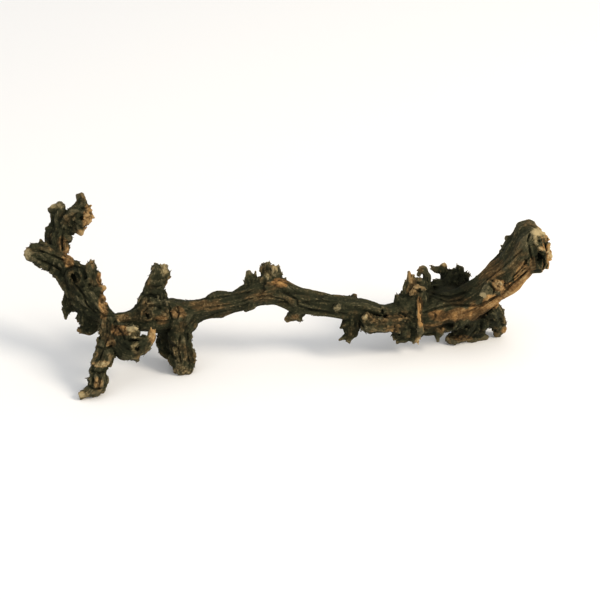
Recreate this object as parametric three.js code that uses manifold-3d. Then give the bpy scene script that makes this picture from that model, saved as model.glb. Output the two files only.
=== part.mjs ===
// A gnarled piece of grapevine driftwood, about 0.8 m long, lying on its own stubs.
// It grew as one piece, so it is one solid: a trunk that thins into a stem, a forked arm at the
// left, pruned spurs, torn stubs, knots, root toes and a tangle of roots behind the trunk.
//
// Every limb is drawn in the plane that the wood spreads in, by points [u, v, w, r] in millimetres:
//   u to the right, v up, w away from the viewer, and r, the limb's radius there.
// u and v are as seen from VIEW away, so a point further off moves out along its line of sight.
// The whole piece is then leant forward by LEAN, which sets it down on its feet.
import * as THREE from "three";
import { mergeVertices } from "three/addons/utils/BufferGeometryUtils.js";
import Module from "manifold-3d";

// Driving dimensions
const VIEW = 2500; // from the viewer to the drawing's plane
const LEAN = THREE.MathUtils.degToRad(28); // from the drawing's plane to the piece at rest
const FLOOR = -100; // height of the surface under the leant piece, before it is centred
const CUT_BOX = 1200; // a box larger than the piece, for cutting its feet flat
const RELIEF = 0.15; // depth of flutes and lumps, as a share of a limb's radius
const SIDE = 13; // width of a limb's sides
const FEWEST_SIDES = 5;
const MOST_SIDES = 20;
const RING = 0.85; // from ring to ring of a limb, as a share of its radius
const SHORTEST_RING = 7;
const LONGEST_RING = 13;
const SHARD = 0.6; // thickness of a shard, as a share of its width
const TOOTH = 6; // height of the teeth on a torn end
const DENT = 9; // depth of the hollow inside a torn end
const KNOT_SIDES = 8;
const WOOD = { color: 0x4a4131, roughness: 0.9, metalness: 0 };

// The four ways that a limb ends: rounded off, sawn across, torn, or thinned to a shard.
const tip = (...path) => ({ path, end: "tip" });
const cut = (...path) => ({ path, end: "cut" });
const torn = (...path) => ({ path, end: "torn" });
const shard = (...path) => ({ path, end: "tip", flat: SHARD });

// The trunk, from the bend above its roots, through the stem, to the crown of knots.
const trunk = tip(
  [268, -10, 50, 20],
  [241, -12, 54, 29],
  [214, -22, 54, 30],
  [189, -25, 50, 25],
  [163, -24, 44, 20],
  [136, -23, 36, 17],
  [106, -14, 24, 17.5],
  [76, -11, 14, 17],
  [46, -6, 6, 17],
  [16, 0, 0, 19],
  [-10, 8, -5, 17.5],
  [-36, 12, -8, 19],
  [-58, 6, -8, 17.5],
  [-81, -2, -6, 15],
  [-106, -6, -3, 19],
  [-129, -13, 0, 17],
  [-151, -18, 1, 20],
  [-175, -21, 0, 25],
  [-199, -23, -4, 26],
  [-220, -26, -9, 21],
  [-238, -29, -13, 13],
  [-256, -31, -15, 11],
  [-272, -30, -15, 9],
);

// The trunk's upper end, which was torn off the rest of the vine.
const butt = cut(
  [243, -16, 54, 26],
  [270, -1, 50, 26],
  [294, 15, 42, 26],
  [317, 34, 34, 27.5],
  [338, 54, 25, 29],
  [354, 76, 17, 31.5],
  [366, 90, 12, 33.5],
  [375, 99, 11, 28],
  [380, 103, 10, 18],
);

// The pruned stub on the butt's face, and the flange, drips and shards that stand off it.
const buttLimbs = [
  torn([352, 64, 14, 22], [370, 66, 8, 22], [382, 69, 4, 19], [388, 70, 2, 15]),
  tip([378, 62, 6, 12], [386, 55, 6, 8], [388, 49, 6, 4]),
  tip([366, 58, 8, 12], [371, 49, 8, 7], [372, 44, 8, 3]),
  shard([344, 84, 18, 14], [333, 90, 19, 8], [326, 93, 19, 2]),
  cut([308, 20, 16, 13], [298, 13, 4, 9], [292, 8, -4, 7.5]),
  torn([312, 24, 14, 10], [315, 22, 0, 6]),
  cut([330, 62, 44, 14], [328, 74, 62, 10], [327, 82, 70, 8]),
  torn([296, 24, 60, 14], [290, 30, 76, 9], [286, 32, 82, 7]),
];

// The arm at the left, sawn off at its end.
const arm = cut(
  [-264, -34, -15, 9],
  [-280, -21, -10, 15],
  [-297, -5, -4, 20],
  [-312, 13, 4, 22],
  [-322, 31, 10, 21.5],
  [-337, 47, 16, 19.5],
  [-354, 60, 16, 18.5],
  [-370, 67, 8, 18],
  [-384, 69, -2, 13.5],
  [-391, 67, -7, 10],
);

const armLimbs = [
  // its upper fork, the fork's pruned left prong, the lobe with a rotted knot, and its spike
  cut(
    [-348, 55, 18, 14],
    [-348, 78, 24, 15],
    [-348, 93, 30, 18],
    [-344, 108, 34, 17],
    [-346, 123, 37, 12.5],
    [-347, 135, 39, 11],
    [-349, 140, 40, 12],
  ),
  tip([-343, 105, 34, 12], [-328, 117, 32, 16], [-316, 124, 27, 18], [-305, 123, 23, 14]),
  shard([-315, 124, 25, 14], [-312, 138, 26, 12], [-311, 148, 26, 8], [-313, 158, 26, 5.5]),
  tip([-316, 108, 24, 9], [-313, 102, 22, 6], [-311, 98, 22, 3]),
  tip([-304, 136, 24, 5], [-297, 142, 23, 2]),
  tip([-345, 137, 36, 7], [-355, 137, 34, 4.5], [-361, 136, 33, 2]),
  tip([-336, 92, 28, 9], [-328, 92, 26, 5]),
  // the broken collar round its bend, and the bumps beside it
  torn([-305, 12, 6, 15], [-301, 30, 2, 17], [-303, 44, 0, 15], [-305, 51, 0, 13]),
  tip([-296, 8, -4, 14], [-284, 16, -7, 9], [-276, 19, -8, 3]),
  tip([-292, -4, -6, 12], [-283, 4, -8, 8]),
  tip([-371, 80, 8, 8], [-372, 90, 10, 3]),
  tip([-352, 46, 6, 8], [-358, 41, 4, 3]),
  // the flap and the hooked fin under it
  shard([-314, 6, 6, 20], [-325, -5, 8, 17], [-333, -14, 8, 8], [-335, -28, 8, 2.5]),
  tip([-330, 0, 8, 7], [-340, -3, 8, 2.2]),
  shard([-296, -10, -2, 18], [-301, -28, 2, 18], [-300, -41, 4, 12], [-316, -46, 4, 3]),
];

// The spurs and stubs round the crown of knots at the left end of the stem.
const crownLimbs = [
  // the spur that comes down towards the viewer and stands on its sawn end
  cut(
    [-268, -34, -20, 14],
    [-270, -54, -28, 12.5],
    [-275, -72, -35, 13],
    [-279, -88, -42, 14.5],
    [-285, -100, -46, 12],
    [-288, -109, -49, 10.5],
    [-287, -120, -52, 14],
    [-291, -131, -56, 12],
    [-303, -140, -59, 8],
    [-314, -144, -61, 6],
  ),
  tip([-281, -113, -50, 6], [-273, -118, -52, 2.4]),
  tip([-286, -128, -54, 8], [-281, -137, -56, 3.5]),
  // the bowl-shaped stub that turns up again in a finger, with a broken disc of wood on its face
  tip(
    [-259, -38, -18, 13],
    [-253, -58, -32, 17],
    [-241, -71, -42, 17],
    [-228, -71, -46, 14],
    [-215, -63, -45, 10.5],
    [-207, -56, -42, 8],
    [-206, -47, -38, 5],
  ),
  tip([-232, -80, -44, 8], [-227, -91, -44, 2.6]),
  cut([-244, -50, -28, 16], [-238, -50, -44, 13], [-233, -50, -55, 10]),
  // the thick stub that stands on the surface, and the bulb beside it
  tip(
    [-160, -27, 2, 25],
    [-166, -48, 4, 19.5],
    [-163, -67, 5, 18],
    [-160, -85, 6, 19],
    [-159, -98, 7, 18.5],
    [-160, -107, 7, 13],
  ),
  tip([-178, -40, 8, 15], [-184, -60, 13, 13.5], [-184, -76, 14, 9], [-180, -86, 13, 5]),
  tip([-154, -50, 2, 9], [-146, -56, 0, 2.6]),
  // the pruned spur that points up, and the shoulder at its foot
  torn([-208, -12, -6, 21], [-204, 8, -4, 17], [-199, 27, 0, 14.5], [-194, 42, 3, 13], [-193, 51, 5, 11]),
  tip([-188, 34, 2, 6], [-177, 35, 1, 2]),
  tip([-216, -12, -8, 14], [-226, -14, -9, 7]),
  tip([-214, 0, -8, 9], [-219, 3, -8, 3.5]),
];

// Stubs, plates and nubs along the stem.
const stemLimbs = [
  torn([-35, 24, -8, 13], [-35, 42, -7, 8], [-35, 55, -6, 7]),
  torn([-22, 24, -10, 12], [-22, 38, -11, 9], [-22, 49, -11, 7.5]),
  shard([-52, 12, -8, 12], [-58, 30, -9, 9], [-61, 42, -9, 3]),
  tip([-52, 26, -9, 6], [-50, 43, -9, 1.6]),
  tip([-30, 16, -8, 18], [-14, 19, -8, 14], [2, 13, -6, 8]),
  tip([-10, 24, -8, 6], [-5, 33, -8, 2.4]),
  tip([-56, 0, -12, 13], [-60, -9, -14, 8], [-66, -14, -12, 4]),
  tip([14, -8, 0, 16], [8, -21, 1, 10.5], [-4, -29, 1, 4.5]),
  tip([10, -18, 2, 10], [16, -30, 2, 4]),
  tip([94, -3, 22, 12], [98, 7, 22, 4]),
  cut([74, -10, 4, 10], [72, -11, -9, 6.5], [71, -12, -13, 5.5]),
  // the ragged tuft under it
  torn([96, -24, 22, 14], [93, -40, 22, 13], [92, -52, 22, 9], [89, -60, 22, 4]),
  tip([88, -54, 22, 5], [75, -60, 22, 1.8]),
  tip([86, -36, 20, 8], [77, -42, 20, 2]),
  // the knobby ridge that runs along its front into the junction
  tip([168, -38, 34, 16], [154, -36, 20, 12], [136, -37, 12, 11], [121, -36, 8, 12], [113, -27, 6, 7.5]),
  // spurs at its back
  cut([-112, -4, 6, 13], [-116, -2, 26, 9], [-118, 2, 36, 7.5]),
  torn([40, -8, 14, 12], [36, -14, 32, 8.5], [34, -16, 42, 6.5]),
  tip([-186, -16, 10, 18], [-192, -12, 30, 11], [-196, -10, 38, 6]),
];

// The broken junction of stem and trunk: standing shards, a hooked horn and long splinters.
const junctionLimbs = [
  shard([178, -16, 40, 20], [178, 4, 34, 14], [180, 22, 30, 9], [180, 42, 29, 3]),
  shard([183, 14, 30, 9], [187, 38, 30, 2]),
  tip([172, -12, 36, 17], [164, -1, 34, 8], [161, 6, 34, 3.5]),
  tip([204, -2, 54, 16], [206, 22, 51, 9], [206, 37, 51, 7], [200, 45, 50, 6], [194, 37, 47, 4.5]),
  tip([186, -8, 46, 18], [194, 10, 38, 14], [195, 26, 37, 10]),
  cut([184, 10, 30, 9], [194, 21, 21, 6], [204, 15, 20, 5]),
  shard([193, 4, 28, 4], [196, -22, 20, 5], [197, -44, 24, 5.5], [193, -62, 34, 5]),
  torn([186, -40, 50, 18], [172, -51, 46, 12], [161, -58, 44, 8]),
  torn([190, -44, 48, 14], [184, -58, 47, 7.5]),
];

// The tangle of dead roots behind the trunk.
const tangleLimbs = [
  tip([244, -8, 66, 20], [245, 8, 78, 17], [243, 24, 84, 17], [247, 38, 86, 11]),
  tip([200, 6, 60, 13], [214, 22, 67, 8], [228, 23, 72, 8], [240, 16, 76, 10]),
  tip([238, 32, 84, 10], [229, 44, 82, 6.5], [219, 46, 80, 4.5], [214, 51, 80, 2.6]),
  tip([232, 42, 82, 7], [232, 52, 82, 4.5]),
  tip([254, 30, 86, 10], [257, 48, 86, 5]),
  tip([254, 20, 84, 13], [263, 30, 85, 7.5], [268, 39, 85, 4]),
  tip([246, 20, 92, 11], [240, 26, 104, 7], [230, 20, 110, 4]),
];

// Roots and broken shells under the trunk, three of which reach the surface.
const rootLimbs = [
  tip([272, -14, 60, 20], [266, -38, 74, 18], [252, -54, 82, 12], [241, -60, 83, 8]),
  tip([284, -30, 72, 18], [282, -48, 84, 12], [279, -60, 92, 7]),
  shard([258, -52, 82, 9], [278, -54, 89, 9], [296, -56, 96, 5]),
  tip([298, -12, 62, 18], [309, -30, 82, 14], [316, -43, 98, 9.5], [313, -53, 106, 6]),
  tip([308, -12, 70, 9], [321, -16, 76, 3]),
  tip([288, -12, 62, 19], [282, -18, 92, 16], [277, -26, 116, 12], [274, -36, 138, 9.5]),
  tip([284, -18, 106, 10], [297, -16, 126, 4]),
  tip([224, -44, 46, 9], [223, -62, 46, 2]),
];

// Knots: where each sits, the way that its lost twig pointed, and its radius.
const TO_VIEWER = [0, 0, -1];
const knots = [
  { at: [-213, -22, -31], facing: [0, 0.1, -1], r: 12 },
  { at: [-171, -18, -28], facing: [0.2, 0.1, -1], r: 9 },
  { at: [-245, -26, -27], facing: [0, 0.4, -1], r: 6 },
  { at: [-321, 33, -13], facing: TO_VIEWER, r: 12 },
  { at: [-311, 122, 12], facing: [0.2, 0, -1], r: 9 },
  { at: [-228, -72, -57], facing: [0.1, -0.2, -1], r: 8 },
  { at: [241, -36, 30], facing: [0, -0.45, -1], r: 15 },
  { at: [177, -33, 21], facing: [0, -0.3, -1], r: 11 },
  { at: [140, -17, 18], facing: TO_VIEWER, r: 7 },
  { at: [117, -30, -6], facing: [-0.4, 0, -1], r: 7 },
  { at: [355, 60, -14], facing: [0.5, -0.3, -1], r: 13 },
];

// Hollows in the butt, where the heart of the wood has gone: each a centre and its half sizes.
const hollows = [
  { at: [380, 62, -14], size: [8, 13, 10] },
  { at: [384, 110, 4], size: [12, 12, 12] },
];

// Modelling

const wasm = await Module();
wasm.setup();

// A repeatable draw from 0 to 1.
function chance(n) {
  const x = Math.sin(n * 12.9898) * 43758.5453;
  return x - Math.floor(x);
}

// Flutes that wind slowly along the grain, and lumps, as a share of the radius.
function relief(angle, along, seed) {
  const phase = (k) => 2 * Math.PI * chance(seed * 7 + k);
  return (
    0.4 * Math.cos(2 * angle + along / 41 + phase(1)) +
    0.4 * Math.cos(3 * angle - along / 57 + phase(2)) +
    0.35 * Math.cos(5 * angle + along / 70 + phase(3)) +
    0.3 * Math.cos(8 * angle - along / 90 + phase(4)) +
    0.45 * Math.sin(along / 8 + 2 * angle + phase(5)) * Math.sin(along / 21 + phase(6))
  );
}

// A point of the drawing in its own space: x right, y away, z up.
function drawn([u, v, w]) {
  const spread = 1 + w / VIEW;
  return new THREE.Vector3(u * spread, w, v * spread);
}

function solidOf(geometry) {
  geometry.deleteAttribute("normal");
  geometry.deleteAttribute("uv");
  const merged = mergeVertices(geometry);
  return new wasm.Manifold(
    new wasm.Mesh({
      numProp: 3,
      vertProperties: merged.attributes.position.array,
      triVerts: new Uint32Array(merged.index.array),
    }),
  );
}

// One limb: a closed cylinder bent along its path, with the radius of each point and the relief.
// flat squeezes the section along the view. The far end's rim and middle are shaped by end.
function limb({ path, end, flat = 1 }, seed) {
  const centre = new THREE.CatmullRomCurve3(path.map(drawn));
  const radius = new THREE.SplineCurve(path.map(([, , , r], i) => new THREE.Vector2(i, r)));
  const length = centre.getLength();
  const widest = Math.max(...path.map(([, , , r]) => r));
  const around = Math.round((2 * Math.PI * widest) / SIDE);
  const sides = THREE.MathUtils.clamp(around, FEWEST_SIDES, MOST_SIDES);
  const step = THREE.MathUtils.clamp(RING * widest, SHORTEST_RING, LONGEST_RING);
  const rings = Math.max(2, Math.round(length / step));

  // The section's back looks away from the viewer, or up where the limb itself runs away.
  const run = centre.getPoint(1).sub(centre.getPoint(0)).normalize();
  const away = Math.abs(run.y) > 0.75 ? new THREE.Vector3(0, 0, 1) : new THREE.Vector3(0, 1, 0);

  const geometry = new THREE.CylinderGeometry(1, 1, 1, sides, rings);
  const place = geometry.attributes.position;
  for (let i = 0; i < place.count; i += 1) {
    const t = THREE.MathUtils.clamp(place.getY(i) + 0.5, 0, 1);
    const atRim = Math.hypot(place.getX(i), place.getZ(i)) > 0.5;
    const angle = Math.atan2(place.getX(i), place.getZ(i));
    const tangent = centre.getTangent(t);
    const back = away.clone().addScaledVector(tangent, -away.dot(tangent)).normalize();
    const across = tangent.clone().cross(back);
    const r = Math.max(radius.getPoint(t).y, 0.6);
    const out = atRim ? r * (1 + RELIEF * relief(angle, t * length, seed)) : 0;
    const point = centre
      .getPoint(t)
      .addScaledVector(across, Math.sin(angle) * out)
      .addScaledVector(back, Math.cos(angle) * out * flat);
    if (t > 1 - 1e-6) {
      const side = Math.round((angle / (2 * Math.PI)) * sides + sides) % sides;
      const tooth = TOOTH * chance(seed * 31 + side);
      const rim = { tip: 0, cut: 0, torn: tooth }[end];
      const middle = { tip: 0.7 * r, cut: 0, torn: -Math.min(DENT, 0.7 * r) }[end];
      point.addScaledVector(tangent, atRim ? rim : middle);
    }
    place.setXYZ(i, point.x, point.y, point.z);
  }
  return solidOf(geometry);
}

// A knot: a swollen collar round a sunken heart. Its profile is in shares of its radius.
function knot({ at, facing: [u, v, w], r }, seed) {
  const profile = [
    [0, -1.2],
    [0.8, -1.1],
    [1.2, -0.3],
    [1, 0.25],
    [0.7, 0.3],
    [0.45, -0.2],
    [0, -0.4],
  ].map(([out, up]) => new THREE.Vector2(out * r, up * r));
  const geometry = new THREE.LatheGeometry(profile, KNOT_SIDES, 2 * Math.PI * chance(seed));
  const axis = new THREE.Vector3(u, w, v).normalize();
  const turn = new THREE.Quaternion().setFromUnitVectors(new THREE.Vector3(0, 1, 0), axis);
  geometry.applyQuaternion(turn);
  geometry.translate(...drawn(at));
  return solidOf(geometry);
}

function hollow({ at, size: [u, v, w] }) {
  const egg = new THREE.SphereGeometry(1, 10, 7);
  egg.scale(u, w, v);
  egg.translate(...drawn(at));
  return solidOf(egg);
}

// Join the limbs and knots, cut the hollows, then cut the feet flat where the surface is.
const limbs = [
  trunk,
  butt,
  arm,
  ...buttLimbs,
  ...armLimbs,
  ...crownLimbs,
  ...stemLimbs,
  ...junctionLimbs,
  ...tangleLimbs,
  ...rootLimbs,
];
const grown = [...limbs.map((one, i) => limb(one, i + 1)), ...knots.map(knot)];
const joined = grown.reduce((whole, one) => whole.add(one));
const carved = hollows.reduce((whole, one) => whole.subtract(hollow(one)), joined);

const below = new THREE.BoxGeometry(CUT_BOX, CUT_BOX, CUT_BOX);
below.translate(0, 0, FLOOR - CUT_BOX / 2);
below.rotateX(LEAN);
const finished = carved.subtract(solidOf(below)).getMesh();

const geometry = new THREE.BufferGeometry();
geometry.setAttribute("position", new THREE.BufferAttribute(finished.vertProperties, 3));
geometry.setIndex(new THREE.BufferAttribute(finished.triVerts, 1));
geometry.rotateX(-LEAN);

// The origin is on the surface, under the middle of the piece.
geometry.computeBoundingBox();
const { min, max } = geometry.boundingBox;
geometry.translate(-(min.x + max.x) / 2, -(min.y + max.y) / 2, -min.z);
geometry.computeVertexNormals();

const driftwood = new THREE.Mesh(geometry, new THREE.MeshStandardMaterial(WOOD));
driftwood.name = "driftwood";

const piece = new THREE.Group();
piece.add(driftwood);
export default piece;
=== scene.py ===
import math

import bpy
import numpy as np
import openvdb
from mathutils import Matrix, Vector


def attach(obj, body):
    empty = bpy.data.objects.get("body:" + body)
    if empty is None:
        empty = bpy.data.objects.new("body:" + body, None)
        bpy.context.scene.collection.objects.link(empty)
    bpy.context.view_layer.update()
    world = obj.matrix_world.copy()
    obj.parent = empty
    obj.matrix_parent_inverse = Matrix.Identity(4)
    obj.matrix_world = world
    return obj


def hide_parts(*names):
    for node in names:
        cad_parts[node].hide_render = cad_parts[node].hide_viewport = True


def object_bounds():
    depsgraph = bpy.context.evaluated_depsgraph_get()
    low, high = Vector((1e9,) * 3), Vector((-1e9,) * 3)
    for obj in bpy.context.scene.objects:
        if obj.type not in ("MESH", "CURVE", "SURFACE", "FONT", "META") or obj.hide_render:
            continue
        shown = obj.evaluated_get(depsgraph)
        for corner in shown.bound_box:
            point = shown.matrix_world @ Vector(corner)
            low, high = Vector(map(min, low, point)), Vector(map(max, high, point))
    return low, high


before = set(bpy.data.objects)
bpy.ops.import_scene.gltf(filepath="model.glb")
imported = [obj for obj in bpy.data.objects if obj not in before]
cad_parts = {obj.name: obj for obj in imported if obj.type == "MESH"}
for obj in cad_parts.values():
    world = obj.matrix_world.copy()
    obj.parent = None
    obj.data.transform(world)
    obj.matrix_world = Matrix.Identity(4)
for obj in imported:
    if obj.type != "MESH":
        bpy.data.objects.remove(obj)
cad_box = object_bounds()

# The wood. One gnarled piece of old pruned vine, dried and weathered until most bark had gone: a
# torn butt and trunk, a bent stem, a crown of knots with a forked arm, and roots. It is modelled
# like clay, limb on limb, with the knots and hollows worked in, and then skinned.

# Every limb is drawn by points [u, v, w, r] in millimetres: u right, v up, w away from the viewer,
# and its radius. u and v are as seen from VIEW away, and the piece is then leant forward by LEAN.
VIEW = 2500.0
LEAN = math.radians(28)
CENTRED = np.array([0.2, 6.9, 100.0])  # from the leant drawing to the part's own origin
MM = 0.001


# A limb ends in a rounded tip, a saw cut or a torn end, or thins out as a flat shard. Its look may
# give the size of its torn teeth, how rough its skin is, and how much it is trimmed all round.
def tip(*path, **look):
    return {"path": path, "end": "tip", **look}


def cut(*path, **look):
    return {"path": path, "end": "cut", **look}


def torn(*path, **look):
    return {"path": path, "end": "torn", **look}


def shard(*path, **look):
    return {"path": path, "end": "tip", "flat": 0.6, **look}


# The trunk, from under the butt to the stem's thin end in the crown of knots.
trunk = tip(
    [268, -10, 50, 20],
    [241, -12, 54, 29],
    [214, -22, 54, 30],
    [189, -25, 50, 25],
    [163, -24, 44, 20],
    [136, -23, 36, 17],
    [106, -14, 24, 17.5],
    [76, -11, 14, 17],
    [46, -6, 6, 17],
    [16, 0, 0, 19],
    [-10, 8, -5, 17.5],
    [-36, 12, -8, 19],
    [-58, 6, -8, 17.5],
    [-81, -2, -6, 15],
    [-106, -6, -3, 19],
    [-129, -13, 0, 17],
    [-151, -18, 1, 20],
    [-175, -21, 0, 25],
    [-199, -23, -4, 26],
    [-220, -26, -9, 21],
    [-238, -29, -13, 13],
    [-256, -31, -15, 11],
    [-272, -30, -15, 9],
)

# The trunk's upper end, which was torn off the rest of the vine.
butt = cut(
    [243, -16, 54, 26],
    [270, -1, 50, 26],
    [294, 15, 42, 26],
    [317, 34, 34, 27.5],
    [338, 54, 25, 29],
    [354, 76, 17, 31.5],
    [366, 90, 12, 33.5],
    [375, 99, 11, 28],
    [380, 103, 10, 18],
)

# The torn mass at the butt's end, its drips and flake, the pruned stub and scar on its face, and
# the stubs at its back.
butt_limbs = [
    torn([352, 64, 14, 22], [370, 66, 8, 22], [382, 69, 4, 19], [388, 70, 2, 15], teeth=1.2),
    tip([378, 62, 6, 12], [386, 55, 6, 8], [388, 49, 6, 4]),
    tip([366, 58, 8, 12], [371, 49, 8, 7], [372, 44, 8, 3]),
    shard([344, 84, 18, 14], [333, 90, 19, 8], [326, 93, 19, 2], trim=-1.8),
    cut([308, 20, 16, 13], [298, 13, 4, 9], [292, 8, -4, 7.5]),
    torn([312, 24, 14, 10], [315, 22, 0, 6]),
    cut([330, 62, 44, 14], [328, 74, 62, 10], [327, 82, 70, 8]),
    torn([296, 24, 60, 14], [290, 30, 76, 9], [286, 32, 82, 7]),
]

# The arm at the left, sawn off at its end.
arm = cut(
    [-264, -34, -15, 9],
    [-280, -21, -10, 15],
    [-297, -5, -4, 20],
    [-312, 13, 4, 22],
    [-322, 31, 10, 21.5],
    [-337, 47, 16, 19.5],
    [-354, 60, 16, 18.5],
    [-370, 67, 8, 18],
    [-384, 69, -2, 13.5],
    [-391, 67, -7, 10],
)

# What stands on the arm.
arm_limbs = [
    # its upper fork, the fork's pruned left prong, the lobe with a rotted knot, and its spike
    cut(
        [-348, 55, 18, 14],
        [-348, 78, 24, 15],
        [-348, 93, 30, 18],
        [-344, 108, 34, 17],
        [-346, 123, 37, 12.5],
        [-347, 135, 39, 11],
        [-349, 140, 40, 12],
    ),
    tip([-343, 105, 34, 12], [-328, 117, 32, 16], [-316, 124, 27, 18], [-305, 123, 23, 14]),
    shard([-315, 124, 25, 14], [-312, 138, 26, 12], [-311, 148, 26, 8], [-313, 158, 26, 5.5]),
    tip([-316, 108, 24, 9], [-313, 102, 22, 6], [-311, 98, 22, 3]),
    tip([-304, 136, 24, 5], [-297, 142, 23, 2]),
    tip([-345, 137, 36, 7], [-355, 137, 34, 4.5], [-361, 136, 33, 2]),
    tip([-336, 92, 28, 9], [-328, 92, 26, 5]),
    # the broken collar round its bend, and the bumps beside it
    torn([-305, 12, 6, 15], [-301, 30, 2, 17], [-303, 44, 0, 15], [-305, 51, 0, 13]),
    tip([-296, 8, -4, 14], [-284, 16, -7, 9], [-276, 19, -8, 3]),
    tip([-292, -4, -6, 12], [-283, 4, -8, 8]),
    tip([-371, 80, 8, 8], [-372, 90, 10, 3]),
    tip([-352, 46, 6, 8], [-358, 41, 4, 3]),
    # the flap and the hooked fin under it
    shard([-314, 6, 6, 20], [-325, -5, 8, 17], [-333, -14, 8, 8], [-335, -28, 8, 2.5]),
    tip([-330, 0, 8, 7], [-340, -3, 8, 2.2]),
    shard([-296, -10, -2, 18], [-301, -28, 2, 18], [-300, -41, 4, 12], [-316, -46, 4, 3]),
]

# The spurs and stubs round the crown of knots at the left end of the stem.
crown_limbs = [
    # the spur that comes down towards the viewer and stands on its sawn end
    cut(
        [-268, -34, -20, 14],
        [-270, -54, -28, 12.5],
        [-275, -72, -35, 13],
        [-279, -88, -42, 14.5],
        [-285, -100, -46, 12],
        [-288, -109, -49, 10.5],
        [-287, -120, -52, 14],
        [-291, -131, -56, 12],
        [-303, -140, -59, 8],
        [-314, -144, -61, 6],
    ),
    tip([-281, -113, -50, 6], [-273, -118, -52, 2.4]),
    tip([-286, -128, -54, 8], [-281, -137, -56, 3.5]),
    # the bowl-shaped stub that turns up again in a finger, with a broken disc of wood on its face
    tip(
        [-259, -38, -18, 13],
        [-253, -58, -32, 17],
        [-241, -71, -42, 17],
        [-228, -71, -46, 14],
        [-215, -63, -45, 10.5],
        [-207, -56, -42, 8],
        [-206, -47, -38, 5],
    ),
    tip([-232, -80, -44, 8], [-227, -91, -44, 2.6]),
    torn(
        [-244, -50, -28, 16],
        [-238, -50, -44, 13],
        [-233, -50, -55, 10],
        teeth=1.2,
        trim=1.2,
        rough=1.0,
    ),
    # the thick stub that stands on the surface, and the bulb beside it
    tip(
        [-160, -27, 2, 25],
        [-166, -48, 4, 19.5],
        [-163, -67, 5, 18],
        [-160, -85, 6, 19],
        [-159, -98, 7, 18.5],
        [-160, -107, 7, 13],
    ),
    tip([-178, -40, 8, 15], [-184, -60, 13, 13.5], [-184, -76, 14, 9], [-180, -86, 13, 5]),
    tip([-154, -50, 2, 9], [-146, -56, 0, 2.6]),
    # the pruned spur that points up, and the shoulder at its foot
    torn(
        [-208, -12, -6, 21],
        [-204, 8, -4, 17],
        [-199, 27, 0, 14.5],
        [-194, 42, 3, 13],
        [-193, 51, 5, 11],
        teeth=0.4,
    ),
    tip([-188, 34, 2, 6], [-177, 35, 1, 2]),
    tip([-216, -12, -8, 14], [-226, -14, -9, 7]),
    tip([-214, 0, -8, 9], [-219, 3, -8, 3.5]),
]

# Stubs, plates and nubs along the stem.
stem_limbs = [
    torn([-35, 24, -8, 13], [-35, 42, -7, 8], [-35, 55, -6, 7], teeth=0.3, rough=0.9),
    torn([-22, 24, -10, 12], [-22, 38, -11, 9], [-22, 49, -11, 7.5], teeth=0.3, rough=0.9),
    shard([-52, 12, -8, 12], [-58, 30, -9, 9], [-61, 42, -9, 3], trim=-1.0),
    tip([-52, 26, -9, 6], [-50, 43, -9, 1.6]),
    tip([-30, 16, -8, 18], [-14, 19, -8, 14], [2, 13, -6, 8]),
    tip([-10, 24, -8, 6], [-5, 33, -8, 2.4]),
    tip([-56, 0, -12, 13], [-60, -9, -14, 8], [-66, -14, -12, 4]),
    tip([14, -8, 0, 16], [8, -21, 1, 10.5], [-4, -29, 1, 4.5]),
    tip([10, -18, 2, 10], [16, -30, 2, 4]),
    tip([94, -3, 22, 12], [98, 7, 22, 4]),
    cut([74, -10, 4, 10], [72, -11, -9, 6.5], [71, -12, -13, 5.5]),
    # the ragged tuft under it
    torn([96, -24, 22, 14], [93, -40, 22, 13], [92, -52, 22, 9], [89, -60, 22, 4]),
    tip([88, -54, 22, 5], [75, -60, 22, 1.8]),
    tip([86, -36, 20, 8], [77, -42, 20, 2]),
    # the knobby ridge that runs along its front into the junction
    tip(
        [168, -38, 34, 16],
        [154, -36, 20, 12],
        [136, -37, 12, 11],
        [121, -36, 8, 12],
        [113, -27, 6, 7.5],
        rough=1.0,
    ),
    # spurs at its back
    cut([-112, -4, 6, 13], [-116, -2, 26, 9], [-118, 2, 36, 7.5]),
    torn([40, -8, 14, 12], [36, -14, 32, 8.5], [34, -16, 42, 6.5]),
    tip([-186, -16, 10, 18], [-192, -12, 30, 11], [-196, -10, 38, 6]),
]

# The broken junction of stem and trunk: standing shards, a hooked horn and long splinters.
junction_limbs = [
    shard([178, -16, 40, 20], [178, 4, 34, 14], [180, 22, 30, 9], [180, 42, 29, 3]),
    shard([183, 14, 30, 9], [187, 38, 30, 2]),
    tip([172, -12, 36, 17], [164, -1, 34, 8], [161, 6, 34, 3.5]),
    tip(
        [204, -2, 54, 16],
        [206, 22, 51, 9],
        [206, 37, 51, 7],
        [200, 45, 50, 6],
        [194, 37, 47, 4.5],
        trim=1.8,
        rough=0.9,
    ),
    tip([186, -8, 46, 18], [194, 10, 38, 14], [195, 26, 37, 10]),
    cut([184, 10, 30, 9], [194, 21, 21, 6], [204, 15, 20, 5], trim=1.8, rough=1.0),
    shard(
        [193, 4, 28, 4],
        [196, -22, 20, 5],
        [197, -44, 24, 5.5],
        [193, -62, 34, 5],
        trim=1.6,
        rough=1.0,
    ),
    torn([186, -40, 50, 18], [172, -51, 46, 12], [161, -58, 44, 8]),
    torn([190, -44, 48, 14], [184, -58, 47, 7.5]),
]

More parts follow.
